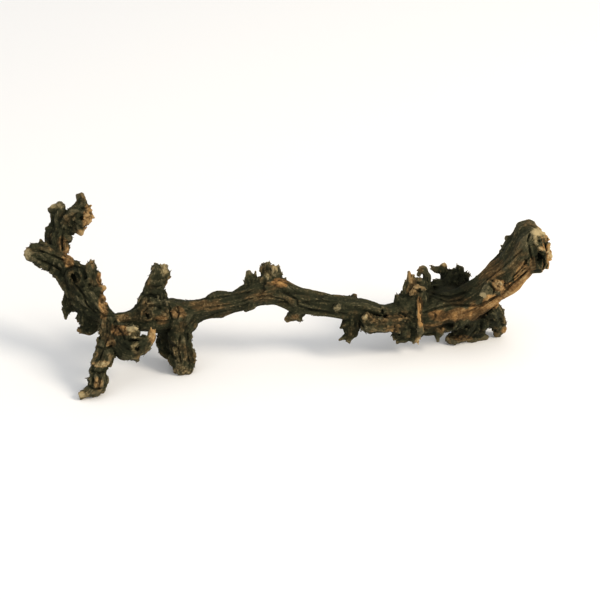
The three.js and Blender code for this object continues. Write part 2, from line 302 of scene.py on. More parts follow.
# The tangle of dead roots behind the trunk.
tangle_limbs = [
    tip([244, -8, 66, 20], [245, 8, 78, 17], [243, 24, 84, 17], [247, 38, 86, 11]),
    tip([200, 6, 60, 13], [214, 22, 67, 8], [228, 23, 72, 8], [240, 16, 76, 10]),
    tip([238, 32, 84, 10], [229, 44, 82, 6.5], [219, 46, 80, 4.5], [214, 51, 80, 2.6]),
    tip([232, 42, 82, 7], [232, 52, 82, 4.5]),
    tip([254, 30, 86, 10], [257, 48, 86, 5]),
    tip([254, 20, 84, 13], [263, 30, 85, 7.5], [268, 39, 85, 4]),
    tip([246, 20, 92, 11], [240, 26, 104, 7], [230, 20, 110, 4]),
]

# Roots and broken shells under the trunk, three of which reach the surface.
root_limbs = [
    tip([272, -14, 60, 20], [266, -38, 74, 18], [252, -54, 82, 12], [241, -60, 83, 8]),
    tip([284, -30, 72, 18], [282, -48, 84, 12], [279, -60, 92, 7]),
    shard([258, -52, 82, 9], [278, -54, 89, 9], [296, -56, 96, 5]),
    tip([298, -12, 62, 18], [309, -30, 82, 14], [316, -43, 98, 9.5], [313, -53, 106, 6]),
    tip([308, -12, 70, 9], [321, -16, 76, 3]),
    tip([288, -12, 62, 19], [282, -18, 92, 16], [277, -26, 116, 12], [274, -36, 138, 9.5]),
    tip([284, -18, 106, 10], [297, -16, 126, 4]),
    tip([224, -44, 46, 9], [223, -62, 46, 2]),
]

# Knots: where each sits, the way that its lost twig pointed, its radius, and as shares of that, how
# proud its rings stand and how deep its heart has rotted.
TO_VIEWER = [0, 0, -1]
knots = [
    {"at": [-213, -22, -31], "facing": [0, 0.1, -1], "r": 12, "proud": -0.05, "rot": 0.18},
    {"at": [-171, -18, -28], "facing": [0.2, 0.1, -1], "r": 9, "proud": 0.0, "rot": 0.15},
    {"at": [-245, -26, -27], "facing": [0, 0.4, -1], "r": 6, "proud": 0.0, "rot": 0.2},
    {"at": [-321, 33, -13], "facing": TO_VIEWER, "r": 12, "proud": 0.4, "rot": 0.3},
    {"at": [-311, 122, 12], "facing": [0.2, 0, -1], "r": 9, "proud": 0.05, "rot": 0.45},
    {"at": [-228, -72, -57], "facing": [0.1, -0.2, -1], "r": 8, "proud": 0.1, "rot": 0.3},
    {"at": [241, -36, 30], "facing": [0, -0.45, -1], "r": 15, "proud": -0.15, "rot": 0.3},
    {"at": [177, -33, 21], "facing": [0, -0.3, -1], "r": 11, "proud": -0.1, "rot": 0.15},
    {"at": [140, -17, 18], "facing": TO_VIEWER, "r": 7, "proud": 0.0, "rot": 0.3},
    {"at": [117, -30, -6], "facing": [-0.4, 0, -1], "r": 7, "proud": 0.0, "rot": 0.1},
    {"at": [355, 60, -14], "facing": [0.5, -0.3, -1], "r": 13, "proud": -0.4, "rot": 0.1},
]

# Hollows in the butt, where the heart of the wood has gone: each a centre and its half sizes.
hollows = [
    {"at": [380, 62, -14], "size": [8, 13, 10]},
    {"at": [384, 110, 4], "size": [12, 12, 12]},
]

limbs = [
    trunk,
    butt,
    arm,
    *butt_limbs,
    *arm_limbs,
    *crown_limbs,
    *stem_limbs,
    *junction_limbs,
    *tangle_limbs,
    *root_limbs,
]

# How rough the skin of each limb is: the trunk and stem are worn nearly smooth, the old roots
# and the crown are flaky all over.
trunk["rough"] = 0.15
butt["rough"] = 0.15
arm["rough"] = 0.65
for group, rough in [
    (butt_limbs, 0.5),
    (arm_limbs, 0.75),
    (crown_limbs, 0.85),
    (stem_limbs, 0.5),
    (junction_limbs, 0.6),
    (tangle_limbs, 1.0),
    (root_limbs, 0.9),
]:
    for one in group:
        one.setdefault("rough", rough)

# Places that are torn and ragged whatever the limb: each [u, v], its half sizes and how rough.
ragged = [
    [384, 74, 16, 36, 0.6],
    [318, 22, 12, 12, 1.1],
    [-205, -2, 24, 16, 1.1],
    [-172, -20, 14, 12, 1.0],
    [-240, -48, 20, 12, 0.8],
    [-312, 30, 22, 22, 1.0],
    [-306, 124, 16, 24, 1.0],
    [172, -34, 24, 20, 1.0],
    [186, 20, 18, 16, 0.9],
    [-14, 26, 20, 8, 1.0],
    [-30, 48, 18, 14, 0.9],
]

CELL = 1.35  # one cell of the clay, in millimetres
COARSE = 4  # fine cells along one coarse cell
REACH = 9.0  # how far outside a limb its distance is worked out
FAR = 12.0  # the distance that a cell has while no wood is near
MARGIN = 14  # how far the block of clay goes past the part's box
RELIEF = 0.15  # how high a limb's flutes and lumps stand, as a share of its radius
lowest, highest = [np.array(corner) / MM for corner in cad_box]
origin = np.floor((lowest - MARGIN) / CELL) * CELL
origin[2] = -6 * CELL
shape = np.ceil((highest + MARGIN - origin) / CELL / COARSE).astype(int) * COARSE
lean = np.array(
    [
        [1, 0, 0],
        [0, math.cos(LEAN), math.sin(LEAN)],
        [0, -math.sin(LEAN), math.cos(LEAN)],
    ]
)


def drawn(point):
    """A point [u, v, w] of the drawing in its space, where what is further away is drawn larger."""
    u, v, w = point[:3]
    spread = 1 + w / VIEW
    return np.array([u * spread, w, v * spread])


def unleant(places):
    """Places in the part's frame, in millimetres, taken back to the drawing's space."""
    return (places - CENTRED) @ lean


def as_seen(places):
    """The [u, v] at which the viewer sees places of the drawing's space."""
    return places[:, [0, 2]] / (1 + places[:, [1]] / VIEW)


def leant(places):
    """Places in the drawing's space, leant forward and moved into the part's frame."""
    return places @ lean.T + CENTRED


def chance(n):
    """The part's own number from 0 to 1 for n, always the same."""
    x = math.sin(n * 12.9898) * 43758.5453
    return x - math.floor(x)


rng = np.random.default_rng(11)
LATTICE = 64
lattice = rng.random((LATTICE, LATTICE, LATTICE), dtype=np.float32)


def noise(x, y, z):
    """Smooth noise from -1 to 1 at each of many places, repeating after LATTICE steps."""
    total = 0
    corners = []
    for value in (x, y, z):
        low = np.floor(value)
        part = (value - low).astype(np.float32)
        part = part * part * (3 - 2 * part)
        low = low.astype(np.int64)
        corners.append(((low % LATTICE, 1 - part), ((low + 1) % LATTICE, part)))
    for i, share_x in corners[0]:
        for j, share_y in corners[1]:
            for k, share_z in corners[2]:
                total = total + share_x * share_y * share_z * lattice[i, j, k]
    return 2 * total - 1


def along_path(points, t):
    """Places on the smooth path through the points: the centripetal curve of the part."""
    count = len(points)
    at = (count - 1) * t
    i = min(int(at), count - 2)
    share = at - i
    p1, p2 = points[i], points[i + 1]
    p0 = points[i - 1] if i else 2 * p1 - p2
    p3 = points[i + 2] if i + 2 < count else 2 * p2 - p1
    gaps = [np.sum((b - a) ** 2) ** 0.25 for a, b in ((p0, p1), (p1, p2), (p2, p3))]
    g0, g1, g2 = gaps
    start = ((p1 - p0) / g0 - (p2 - p0) / (g0 + g1) + (p2 - p1) / g1) * g1
    stop = ((p2 - p1) / g1 - (p3 - p1) / (g1 + g2) + (p3 - p2) / g2) * g1
    return (
        p1
        + start * share
        + (-3 * p1 + 3 * p2 - 2 * start - stop) * share**2
        + (2 * p1 - 2 * p2 + start + stop) * share**3
    )


def radius_at(radii, t):
    """The radius at t of the way along the path, smooth between the points."""
    count = len(radii)
    at = (count - 1) * t
    i = min(int(at), count - 2)
    share = at - i
    p0, p1 = radii[max(i - 1, 0)], radii[i]
    p2, p3 = radii[i + 1], radii[min(i + 2, count - 1)]
    start, stop = (p2 - p0) / 2, (p3 - p1) / 2
    return (
        (2 * p1 - 2 * p2 + start + stop) * share**3
        + (-3 * p1 + 3 * p2 - 2 * start - stop) * share**2
        + start * share
        + p1
    )


def lumps(angle, along, seed):
    """The part's own flutes and lumps, as a share of the radius."""
    phase = [2 * math.pi * chance(seed * 7 + k) for k in range(7)]
    return (
        0.4 * np.cos(2 * angle + along / 41 + phase[1])
        + 0.4 * np.cos(3 * angle - along / 57 + phase[2])
        + 0.35 * np.cos(5 * angle + along / 70 + phase[3])
        + 0.3 * np.cos(8 * angle - along / 90 + phase[4])
        + 0.45 * np.sin(along / 8 + 2 * angle + phase[5]) * np.sin(along / 21 + phase[6])
    )


def weather(s, a, b, rough, seed):
    """How far the skin stands out, in millimetres, at s along the grain and a, b across it."""
    shift = seed * 7.31
    swirl = noise(s / 45 + shift, a / 20, b / 20) * 6
    a, b = a + swirl, b - swirl

    # worn wood: long swells, ridges and fibres along the grain, and drying cracks here and there
    swell = noise(s / 75 + shift, a / 9, b / 9)
    ridge = noise(s / 38 + shift, a / 4.3, b / 4.3)
    fibre = noise(s / 19 + shift, a / 1.9, b / 1.9)
    crack = np.abs(noise(s / 60 - shift, a / 11, b / 11 + 5.3))
    split = np.clip(noise(s / 34 + shift, a / 16, b / 16 + 9.7) * 3 + 0.4, 0, 1)
    worn = 1.5 * swell + 0.95 * ridge + 0.4 * fibre
    worn -= 3.4 * np.clip(1 - crack / 0.075, 0, 1) * split

    # rough bark: burls and knobs, stepped flakes, small bits and pits
    burl = np.abs(noise(s / 12 + shift, a / 10, b / 10))
    knob = np.abs(noise(s / 5.6 - shift, a / 5.0, b / 5.0))
    flake = noise(s / 9 + shift, a / 4.2 + 9.1, b / 4.2)
    bit = noise(s / 2.9 + shift, a / 2.4, b / 2.4 + 3.7)
    pit = np.clip(noise(s / 8 - shift, a / 6.5, b / 6.5 + 31.7) - 0.3, 0, 1)
    lumpy = 4.6 * (burl**0.8 - 0.28) + 3.0 * (knob - 0.22) + 1.1 * np.clip(flake * 5, -1, 1)
    lumpy += 0.8 * bit - 5 * pit
    return (1 - 0.6 * rough) * worn + rough * lumpy - 0.3


def path_of(one):
    """Samples of a limb: its centres, frames and radii, every 2 mm or so."""
    points = np.array([drawn(point) for point in one["path"]])
    radii = [point[3] for point in one["path"]]
    gaps = np.linalg.norm(np.diff(points, axis=0), axis=1)
    steps = [np.arange(n) / n for n in np.maximum(np.ceil(gaps / 2.0), 2).astype(int)]
    t = np.concatenate([(i + step) for i, step in enumerate(steps)] + [[len(gaps)]]) / len(gaps)
    centre = np.array([along_path(points, x) for x in t])
    radius = np.maximum([radius_at(radii, x) for x in t], 0.6)
    tangent = np.gradient(centre, axis=0)
    tangent /= np.linalg.norm(tangent, axis=1)[:, None]
    run = points[-1] - points[0]
    run /= np.linalg.norm(run)
    away = np.array([0.0, 0.0, 1.0]) if abs(run[1]) > 0.75 else np.array([0.0, 1.0, 0.0])
    back = away - tangent * (tangent @ away)[:, None]
    back /= np.linalg.norm(back, axis=1)[:, None]
    across = np.cross(tangent, back)
    run_on = np.concatenate([[0], np.cumsum(np.linalg.norm(np.diff(centre, axis=0), axis=1))])
    return t, centre, radius, tangent, back, across, run_on


class Clay:
    """A block of cells that holds the distance to the wood, and what the skin is like there."""

    def __init__(self):
        self.distance = np.full(shape, FAR, np.float32)
        self.along = np.zeros(shape, np.float32)
        self.side = np.zeros(shape, np.float32)
        self.back = np.zeros(shape, np.float32)
        self.rough = np.zeros(shape, np.float32)
        self.end = np.zeros(shape, np.float32)
        self.height = np.zeros(shape, np.float32)
        self.limb = np.zeros(shape, np.float32)


clay = Clay()
flat_cells = {name: getattr(clay, name).reshape(-1) for name in vars(clay)}


def block(low, high):
    """Every cell from low up to high."""
    sides = [np.arange(first, last) for first, last in zip(low, high)]
    return np.stack(np.meshgrid(*sides, indexing="ij"), -1).reshape(-1, 3)


def cells_round(placed, spread):
    """The cells within a spread of places in the part's frame, and where they are in the drawing."""
    low = np.clip(((placed.min(axis=0) - spread - origin) / CELL).astype(int), 0, shape)
    high = np.clip(((placed.max(axis=0) + spread - origin) / CELL).astype(int) + 2, 0, shape)
    cells = block(low, high)
    return np.ravel_multi_index(cells.T, shape), unleant(origin + cells * CELL)


def melded(clay_there, added, soft):
    """The distance to both together, where they meet softly."""
    share = np.clip(0.5 + 0.5 * (clay_there - added) / soft, 0, 1)
    return clay_there * (1 - share) + added * share - soft * share * (1 - share)


def carved(clay_there, gone, soft):
    """The distance to what is left once a form is cut away, with soft edges."""
    share = np.clip(0.5 - 0.5 * (clay_there + gone) / soft, 0, 1)
    return clay_there * (1 - share) - gone * share + soft * share * (1 - share)


def cells_near(centre, radius, reach):
    """The fine cells within reach of a limb, and the nearest sample to each one's coarse cell."""
    placed = leant(centre)
    spread = (radius.max() + reach) + CELL * COARSE
    low = np.maximum((placed.min(axis=0) - spread - origin) // (CELL * COARSE), 0).astype(int)
    high = (placed.max(axis=0) + spread - origin) // (CELL * COARSE) + 1
    boxes = block(low, np.minimum(high, shape // COARSE).astype(int))
    middle = origin + (boxes + 0.5) * COARSE * CELL
    keep, nearest = [], []
    to_corner = CELL * COARSE * 0.87
    at_once = 40000
    for start in range(0, len(boxes), at_once):
        part = middle[start : start + at_once]
        gap = np.sqrt(np.maximum(
            (part**2).sum(1)[:, None] - 2 * part @ placed.T + (placed**2).sum(1)[None], 0
        ))
        close = np.argmin(gap, axis=1)
        ok = (gap - radius[None] * 1.3).min(axis=1) < reach + to_corner
        keep.append(ok)
        nearest.append(close)
    keep, nearest = np.concatenate(keep), np.concatenate(nearest)
    boxes, nearest = boxes[keep], nearest[keep]
    inner = block([0] * 3, [COARSE] * 3)
    cells = (boxes[:, None, :] * COARSE + inner[None]).reshape(-1, 3)
    return cells, np.repeat(nearest, len(inner))


def add_limb(one, seed):
    """Puts one weathered limb on the clay."""
    t, centre, radius, tangent, back, across, run_on = path_of(one)
    length = run_on[-1]
    widest = radius.max()
    cells, nearest = cells_near(centre, radius, REACH)
    places = unleant(origin + cells * CELL)

    # the nearest point of the path: test the few pieces of it round the nearest sample
    best = np.full(len(cells), 1e9)
    where = np.zeros(len(cells))
    for step in range(-4, 4):
        i = np.clip(nearest + step, 0, len(centre) - 2)
        a, b = centre[i], centre[i + 1]
        share = np.einsum("ij,ij->i", places - a, b - a) / np.einsum("ij,ij->i", b - a, b - a)
        share = np.clip(share, 0, 1)
        gap = np.linalg.norm(places - a - share[:, None] * (b - a), axis=1)
        closer = gap < best
        best = np.where(closer, gap, best)
        where = np.where(closer, i + share, where)
    i = np.minimum(where.astype(int), len(centre) - 2)
    share = (where - i)[:, None]

    def mix(values):
        return values[i] * (1 - share) + values[i + 1] * share

    offset = places - mix(centre)
    on_back = np.einsum("ij,ij->i", offset, mix(back))
    on_across = np.einsum("ij,ij->i", offset, mix(across))
    over = np.einsum("ij,ij->i", offset, mix(tangent))
    r = mix(radius[:, None])[:, 0]
    along = mix(t[:, None])[:, 0] * length
    flat = one.get("flat", 1)
    squeezed = on_back / flat
    angle = np.arctan2(on_across, squeezed)
    out = r * (1 + RELIEF * lumps(angle, along, seed))
    radial = np.hypot(squeezed, on_across)
    s = mix(run_on[:, None])[:, 0] + over
    at_end = where > len(centre) - 1.001
    at_start = where < 0.001
    past = np.where(at_end, over, 0.0 if one["end"] == "tip" else -50.0)
    before = np.where(at_start, -over, 0.0)
    if one["end"] == "tip":
        reached = np.hypot(radial, np.maximum(past, 0) / 0.7)
        distance = reached - out
        end_mark = np.zeros(len(cells))
    else:
        if one["end"] == "torn":
            teeth = noise(angle * 1.3 + seed, radial / 5.0, angle * 0 + seed * 1.7)
            top = one.get("teeth", 1) * (3.5 + 3.5 * teeth - 6 * np.clip(1 - radial / (0.8 * r), 0, 1))
        else:
            top = 0.5 * noise(on_back / 3, on_across / 3, over * 0 + seed)
            top = top - 0.6 * np.clip(1 - radial / (0.7 * r), 0, 1)
        distance = np.maximum(radial - out, past - top)
        end_mark = np.clip(1 - np.abs(past - top) / 3.0, 0, 1) * at_end * (radial < out * 1.02)
    distance = np.where(at_start, np.maximum(distance, before - 0.3 * r), distance)
    if flat < 1:
        distance = distance * (0.5 + 0.5 * flat)

    near = np.abs(distance) < 7
    rough = np.full(len(cells), one["rough"])
    seen = as_seen(places)
    for u, v, half_u, half_v, how_rough in ragged:
        gap = ((seen[:, 0] - u) / half_u) ** 2 + ((seen[:, 1] - v) / half_v) ** 2
        rough = np.maximum(rough, how_rough * np.clip(1.6 - gap, 0, 1))
    skin = np.zeros(len(cells), np.float32)
    skin[near] = weather(s[near], on_across[near], squeezed[near], rough[near], seed)
    fade = np.clip(r / 9, 0.25, 1)
    distance = (distance - skin * fade + one.get("trim", 0)).astype(np.float32)

    # blend it into what is there, softly, and keep the nearer limb's grain
    index = np.ravel_multi_index(cells.T, shape)
    old = flat_cells["distance"][index]
    soft = float(np.clip(0.3 * widest, 1.5, 7))
    both = melded(old, distance, soft)
    flat_cells["distance"][index] = np.where(old >= FAR, np.minimum(distance, FAR), both)
    nearer = distance < old
    hit = index[nearer]
    flat_cells["along"][hit] = s[nearer] + seed * 137.0
    flat_cells["side"][hit] = on_across[nearer]
    flat_cells["back"][hit] = squeezed[nearer]
    flat_cells["rough"][hit] = rough[nearer]
    flat_cells["end"][hit] = end_mark[nearer]
    flat_cells["height"][hit] = skin[nearer]
    flat_cells["limb"][hit] = seed


for number, one in enumerate(limbs, 1):
    add_limb(one, number)


def front(u, v):
    """How far away the skin is, seen from the viewer at a place [u, v] of the drawing."""
    away = np.arange(-160, 160, 0.6)
    spread = 1 + away / VIEW
    line = leant(np.stack([u * spread, away, v * spread], 1))
    cells = np.clip(np.rint((line - origin) / CELL).astype(int), 0, shape - 1)
    inside = clay.distance[cells[:, 0], cells[:, 1], cells[:, 2]] < 0
    return away[np.argmax(inside)] if inside.any() else None


def add_knot(at, facing, r, seed, proud, rot):
    """A knot: low broken rings of bark round a sunken heart, and never quite round."""
    index, places = cells_round(leant(drawn(at)[None]), 2.4 * r)
    u, v, w = facing
    axis = np.array([u, w, v], float)
    axis /= np.linalg.norm(axis)
    offset = places - drawn(at)
    x, y, z = offset.T
    wobble = [noise((x + k) / r, (y + k) / r, (z + seed * 9.7) / r) for k in (0, 40, 80)]
    offset = offset + 0.3 * r * np.stack(wobble, 1)
    up = offset @ axis
    flatwise = offset - up[:, None] * axis
    radial = np.linalg.norm(flatwise, axis=1)
    broken = noise(x / (0.7 * r) + seed, y / (0.7 * r), z / (0.7 * r))
    year_rings = np.cos(radial / r * 19 + 2 * broken)
    ring = np.hypot(radial - 0.74 * r, 0.8 * (up + (0.55 - proud - 0.2 * broken) * r))
    ring = ring - (0.33 + 0.08 * broken) * r
    ring = ring - 0.07 * r * year_rings + 0.9 * noise(x / 3, y / 3, z / 3)
    heart = np.sqrt((radial / (0.42 * r)) ** 2 + ((up - 0.05 * r) / (rot * r)) ** 2) - 1
    heart = heart * 0.4 * r + 1.4 * noise(x / 3.4, y / 3.4, z / 3.4)
    ringed = melded(flat_cells["distance"][index], ring, 0.3 * r)
    flat_cells["distance"][index] = carved(ringed, heart, 1.5)
    close = (radial < 1.1 * r) & (np.abs(up) < 1.1 * r)
    height = flat_cells["height"][index]
    flat_cells["height"][index] = np.where(close, 0.5 * year_rings + 1.5 * broken - 1, height)


KNOT_REACH = 20  # a knot is moved onto the skin if that is no further away, in millimetres
for number, one in enumerate(knots):
    u, v, away = one["at"]
    skin_at = front(u, v)
    if skin_at is not None and abs(skin_at - away) < KNOT_REACH:
        away = skin_at + 1.5
    add_knot([u, v, away], one["facing"], one["r"], number, one["proud"], one["rot"])


def cut_hollow(at, size):
    """Takes a rough egg out of the clay."""
    index, places = cells_round(leant(drawn(at)[None]), max(size) * 1.6)
    u, v, w = size
    offset = (places - drawn(at)) / np.array([u, w, v])
    egg = (np.linalg.norm(offset, axis=1) - 1) * min(size)
    egg = egg + 1.6 * noise(places[:, 0] / 4, places[:, 1] / 4, places[:, 2] / 4)
    flat_cells["distance"][index] = carved(flat_cells["distance"][index], egg, 3.0)


for one in hollows:
    cut_hollow(one["at"], one["size"])

# The butt was torn off the vine, so its end is all fibres of uneven length. The skin is shifted
# along the fibres, each a few millimetres through.
TORN_FROM = 350  # the fibres start to part here along x, in millimetres, and are free 18 further on
start = int((TORN_FROM - origin[0]) / CELL)
end_clay = clay.distance[start:].copy()
along_x = np.arange(end_clay.shape[0])
across_y = (origin[1] + np.arange(shape[1]) * CELL)[:, None]
across_z = (origin[2] + np.arange(shape[2]) * CELL)[None, :]
flat_y, flat_z = np.broadcast_arrays(across_y, across_z)
uneven = 4.5 * noise(flat_y / 5.5, flat_z / 8, 0 * flat_y + 3.3)
uneven = uneven + 0.8 * noise(flat_y / 2.8, flat_z / 4, 0 * flat_y + 9.1) + 2
shift = uneven[None] / CELL * np.clip(along_x * CELL / 18, 0, 1)[:, None, None]
at = np.clip(along_x[:, None, None] + shift, 0, len(along_x) - 1.001)
below = at.astype(int)
share = at - below
clay.distance[start:] = (
    np.take_along_axis(end_clay, below, 0) * (1 - share)
    + np.take_along_axis(end_clay, below + 1, 0) * share
).astype(np.float32)


def on_skin(path):
    """Places every millimetre along a line drawn on the skin by its places [u, v]."""
    path = np.array(path, float)
    gaps = np.linalg.norm(np.diff(path, axis=0), axis=1)
    at = np.concatenate([[0], np.cumsum(gaps)])
    steps = np.linspace(0, at[-1], max(int(at[-1]), 2))
    places = []
    for step in steps:
        u, v = np.interp(step, at, path[:, 0]), np.interp(step, at, path[:, 1])
        away = front(u, v)
        if away is not None:
            places.append(drawn([u, v, away]))
    places = np.array(places)
    if len(places) > 4:
        places[:, 1] = np.convolve(np.pad(places[:, 1], 2, mode="edge"), np.ones(5) / 5, mode="valid")
    return places


def work_skin(path, half, depth):
    """Draws a groove of that half width and depth on the skin, or a rope if the depth is below 0."""
    line = on_skin(path)
    if len(line) < 2:
        return
    placed = leant(line)
    index, places = cells_round(placed, max(half, abs(depth)) * 1.6 + 4)
    by_skin = np.abs(flat_cells["distance"][index]) < 9
    index, places = index[by_skin], places[by_skin]
    squash = np.array([1, half / abs(depth), 1])
    gap = np.full(len(places), 1e9)
    for place in line:
        gap = np.minimum(gap, np.sum(((places - place) * squash) ** 2, axis=1))
    gap = np.sqrt(gap)
    near_end = np.minimum(
        np.linalg.norm(places - line[0], axis=1), np.linalg.norm(places - line[-1], axis=1)
    )
    width = half * np.clip(0.35 + near_end / (5 * half), 0, 1)
    bead = gap - width + 0.5 * noise(places[:, 0] / 3, places[:, 1] / 3, places[:, 2] / 3)
    bead = bead * min(1, abs(depth) / half)
    there = flat_cells["distance"][index]
    flat_cells["distance"][index] = carved(there, bead, 0.9) if depth > 0 else melded(there, bead, 1.6)
    mark = np.clip(1 - gap / (1.3 * half), 0, 1)
    # The groove's mark also lowers the skin's height and a rope's raises it, so the colour takes painted
    # shade in the groove and is lighter on the rope.
    flat_cells["height"][index] -= 4 * np.sign(depth) * mark


# Long splits in the wood, and ropes and rings that stand out: each a line of places [u, v], its
# half width and its depth, which is below 0 for what stands out.
lines = [
    ([(200, -20), (223, -12), (246, -7), (264, -8), (283, -9), (305, 2), (322, 14)], 2.2, 3.5),
    ([(322, 15), (340, 28), (358, 44)], 1.8, 4.5),
    ([(327, 24), (341, 34), (355, 49)], 1.5, 4),
    ([(333, 32), (348, 46), (361, 65)], 1.6, 4),
    ([(283, 42), (304, 58), (326, 78)], 1.6, 3),
    ([(294, 28), (322, 50), (349, 74)], 1.5, 3),
    ([(204, 14), (222, 7), (241, 4), (268, 12)], 2.0, 3.5),
    ([(212, 6), (236, -3), (262, 1)], 1.2, 2.5),
    ([(268, -18), (290, -8), (314, 6), (332, 20)], 1.1, 1.8),
    ([(-6, 10), (12, 1), (13, -9), (36, -15), (61, -18)], 1.8, 3),
    ([(-133, 1), (-98, 5), (-58, 12)], 1.6, 2.6),
    ([(-126, -12), (-90, -7), (-52, 3)], 1.4, 2.4),
    ([(20, -4), (48, -1), (70, -3)], 1.4, 2.4),
    ([(-120, -24), (-104, -18), (-70, -12)], 1.2, 2.0),
    ([(-32, 26), (-14, 25), (2, 17)], 3.0, -2.0),
    ([(361, 100), (358, 88)], 1.8, 4),
    ([(360, 82), (362, 70), (366, 60)], 1.8, 4.5),
    ([(374, 71), (377, 64), (373, 60)], 3.6, 9),
    ([(364, 94), (372, 89), (380, 88)], 1.4, 3.5),
    ([(366, 84), (374, 81), (383, 84)], 1.4, 3.5),
    ([(368, 74), (376, 71), (384, 68)], 1.3, -2),
    ([(364, 62), (371, 66), (379, 63)], 1.4, 3.5),
    ([(386, 96), (390, 84), (392, 72)], 1.6, 3.5),
    ([(392, 66), (390, 56), (385, 48)], 1.4, 3),
    ([(370, 98), (378, 94), (386, 96)], 1.3, -2),
    ([(302, 30), (309, 27), (316, 29)], 1.4, 3),
    ([(305, 15), (313, 17), (322, 21)], 1.3, -2),
    ([(311, 22), (317, 18), (324, 24)], 1.3, 3),
    ([(196, 4), (195, -8), (197, -22)], 1.2, 2.5),
    ([(190, 28), (198, 22), (206, 22)], 1.5, 3),
    ([(186, 18), (193, 14), (201, 12)], 1.5, 3),
    ([(380, 90), (385, 84), (386, 74)], 2.4, 6),
    ([(382, 64), (384, 54), (381, 46)], 2.6, 7),
    ([(367, 100), (369, 88), (375, 79), (381, 73)], 3.0, -3.5),
    ([(388, 86), (389, 72), (387, 60)], 2.2, -3),
    ([(366, 66), (370, 54), (376, 46)], 2.2, -3),
    ([(-224, 0), (-217, 9), (-206, 13), (-195, 8)], 1.8, -2.4),
    ([(-222, -9), (-214, 1), (-203, 4), (-192, -2)], 1.8, -2.6),
    ([(-226, -6), (-220, 4), (-208, 8), (-195, 2)], 1.6, 3),
    ([(-218, -18), (-209, -9), (-200, -8), (-192, -14)], 1.7, 3),
    ([(-186, 2), (-184, 14), (-189, 24)], 1.6, -2),
    ([(-180, -8), (-178, -20), (-176, -30)], 1.8, 3.5),
    ([(-168, -8), (-165, -20), (-168, -30)], 1.6, 3),
    ([(-240, -61), (-233, -60), (-225, -61)], 3.2, 5),
    ([(-244, -42), (-234, -40), (-226, -46)], 2.0, -2.5),
    ([(-258, -40), (-250, -50), (-246, -60)], 1.6, 3),
    ([(-296, -98), (-284, -102), (-270, -98)], 2.4, -2.4),
    ([(-297, -106), (-286, -110), (-272, -106)], 1.7, 3.5),
    ([(-289, -60), (-276, -65), (-262, -60)], 2.2, -2.2),
    ([(-290, -69), (-278, -74), (-264, -68)], 1.6, 3),
    ([(-302, -128), (-292, -134), (-280, -132)], 1.7, 3),
    (
        [
            (-331, 33),
            (-328, 41),
            (-321, 44),
            (-313, 40),
            (-311, 32),
            (-315, 25),
            (-322, 22),
            (-329, 26),
            (-331, 32),
        ],
        2.0,
        -3.0,
    ),
    ([(-338, 36), (-333, 47), (-322, 51), (-310, 47)], 1.6, 3.5),
    (
        [(-222, -22), (-219, -14), (-212, -12), (-205, -16), (-204, -24), (-209, -31), (-217, -31)],
        1.6,
        -2.2,
    ),
    (
        [(228, -36), (232, -30), (240, -28), (248, -31), (251, -38), (246, -44), (237, -46), (230, -42)],
        1.6,
        -2.4,
    ),
    ([(-209, 30), (-198, 27), (-186, 31)], 1.8, -2),
    ([(-210, 22), (-198, 19), (-187, 23)], 1.5, 3),
    ([(300, 24), (308, 16), (306, 8)], 1.6, 4),
    ([(316, 32), (322, 24), (326, 16)], 1.4, 3.5),
    ([(-50, 4), (-30, 6), (-6, 0)], 1.3, 2.4),
    ([(-300, -2), (-318, 20), (-326, 36)], 1.6, 3),
    ([(-288, -20), (-303, -8), (-309, 8)], 1.6, 3.5),
    ([(-277, -20), (-291, -4), (-299, 10)], 2.0, -2.5),
    ([(-335, 58), (-352, 66), (-374, 74)], 1.4, 3),
    ([(-342, 44), (-358, 54), (-378, 62)], 1.3, 2.5),
    ([(-340, 74), (-341, 92), (-338, 108)], 1.6, 3.5),
    ([(-163, -50), (-166, -72), (-162, -96)], 1.4, 3),
    ([(-152, -48), (-153, -70), (-150, -92)], 1.4, 3),
    ([(-272, -56), (-279, -76), (-284, -90)], 1.4, 3),
]
for path, half, depth in lines:
    work_skin(path, half, depth)

# The feet are cut flat where the surface is.
heights = origin[2] + np.arange(shape[2]) * CELL
clay.distance = np.maximum(clay.distance, -heights[None, None, :].astype(np.float32))

grid = openvdb.FloatGrid(FAR)
grid.copyFromArray(clay.distance)
grid.transform = openvdb.createLinearTransform(CELL)
points, triangles, quads = grid.convertToPolygons(0.0, 0.0)
points = points.astype(np.float64) + origin

# Crumbs that hang free of the wood, and bubbles inside it, are left out.
sides = [corners[:, [i, (i + 1) % n]] for corners, n in ((quads, 4), (triangles, 3)) for i in range(n)]
sides = np.concatenate(sides)
group = np.arange(len(points))
while True:
    least = np.minimum(group[sides[:, 0]], group[sides[:, 1]])
    lower = group.copy()
    np.minimum.at(lower, sides[:, 0], least)
    np.minimum.at(lower, sides[:, 1], least)
    lower = lower[lower]
    if (lower == group).all():
        break
    group = lower
whole = np.argmax(np.bincount(group))
kept = np.full(len(points), -1)
kept[group == whole] = np.arange((group == whole).sum())
points = points[group == whole]
faces = []
for corners in (triangles, quads):
    faces += kept[corners[group[corners[:, 0]] == whole]].tolist()

mesh = bpy.data.meshes.new("wood")
mesh.from_pydata((points * MM).tolist(), [], faces)
mesh.update()
wood = bpy.data.objects.new("wood", mesh)
bpy.context.scene.collection.objects.link(wood)
MOST_TRIANGLES = 192000
count = sum(len(face.vertices) - 2 for face in mesh.polygons)
thin = wood.modifiers.new("thin", "DECIMATE")
thin.ratio = min(1.0, MOST_TRIANGLES / count)
bpy.context.view_layer.update()
seen = wood.evaluated_get(bpy.context.evaluated_depsgraph_get())
thinned = bpy.data.meshes.new_from_object(seen)
wood.modifiers.clear()
wood.data = thinned
for face in thinned.polygons:
    face.use_smooth = True
